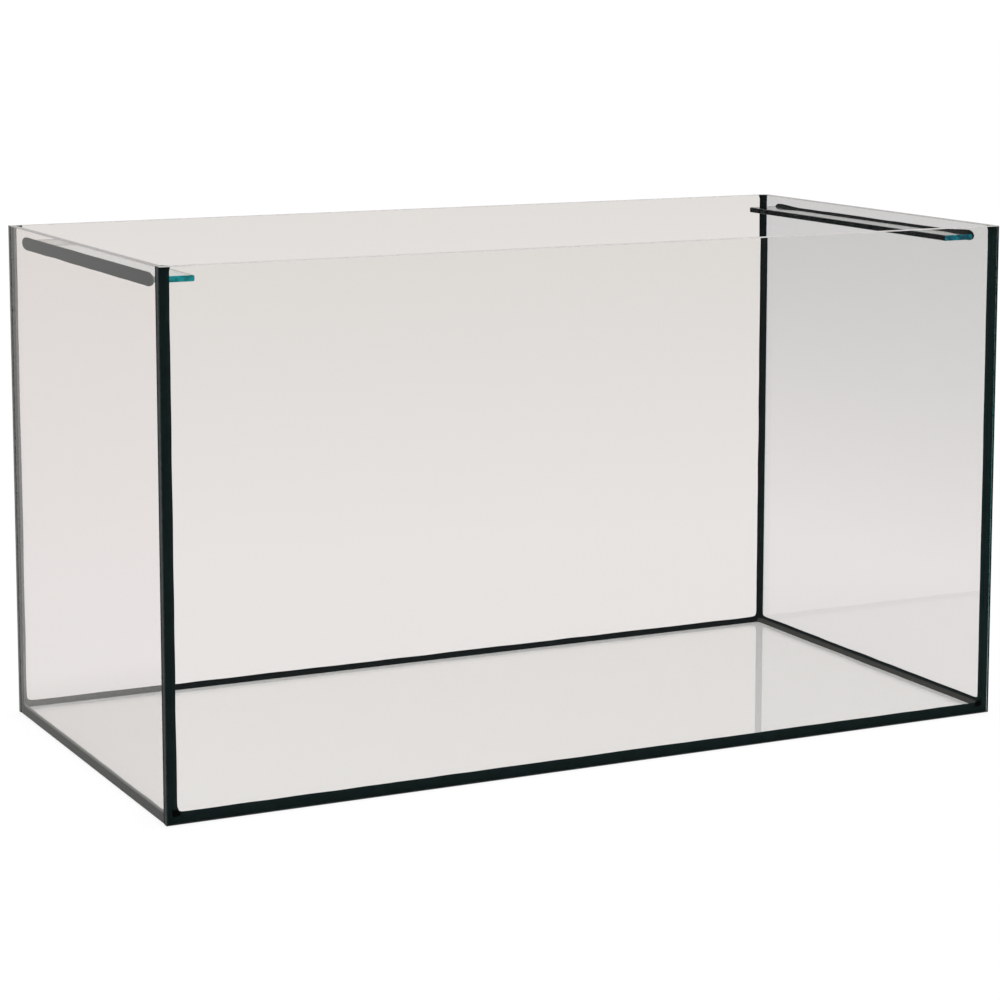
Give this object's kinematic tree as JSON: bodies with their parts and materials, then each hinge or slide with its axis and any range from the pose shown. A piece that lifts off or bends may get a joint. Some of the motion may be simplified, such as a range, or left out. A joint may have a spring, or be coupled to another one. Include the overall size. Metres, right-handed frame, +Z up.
{
  "type": "glass aquarium tank",
  "caption": "Open-topped rectangular tank of clear glass panes bonded with black silicone, with a bracing strip inside each end below the rim.",
  "frame": {"origin": "on the ground, under the middle of the tank, on the bottom pane's underside", "axes": "+X along the tank to its right end, +Y to the back, +Z up; the front pane faces -Y"},
  "size_m": [0.8, 0.4, 0.45],
  "materials": {
    "pane_glass": "clear float glass, ground edges",
    "brace_glass": "clear float glass, teal cut edges",
    "silicone": "black cured silicone, tooled, semi-gloss"
  },
  "bodies": {
    "root": {"front_pane": "pane_glass", "back_pane": "pane_glass", "left_pane": "pane_glass", "right_pane": "pane_glass", "bottom_pane": "pane_glass", "left_brace": "brace_glass", "right_brace": "brace_glass", "bond_front_left": "silicone", "bond_front_right": "silicone", "bond_back_left": "silicone", "bond_back_right": "silicone", "bond_front_bottom": "silicone", "bond_back_bottom": "silicone", "bond_left_bottom": "silicone", "bond_right_bottom": "silicone", "seal_front_left": "silicone", "seal_front_right": "silicone", "seal_back_left": "silicone", "seal_back_right": "silicone", "seal_front_bottom": "silicone", "seal_back_bottom": "silicone", "seal_left_bottom": "silicone", "seal_right_bottom": "silicone", "left_brace_bond": "silicone", "left_brace_upper_bead": "silicone", "left_brace_lower_bead": "silicone", "right_brace_bond": "silicone", "right_brace_upper_bead": "silicone", "right_brace_lower_bead": "silicone"}
  },
  "joints": []
}
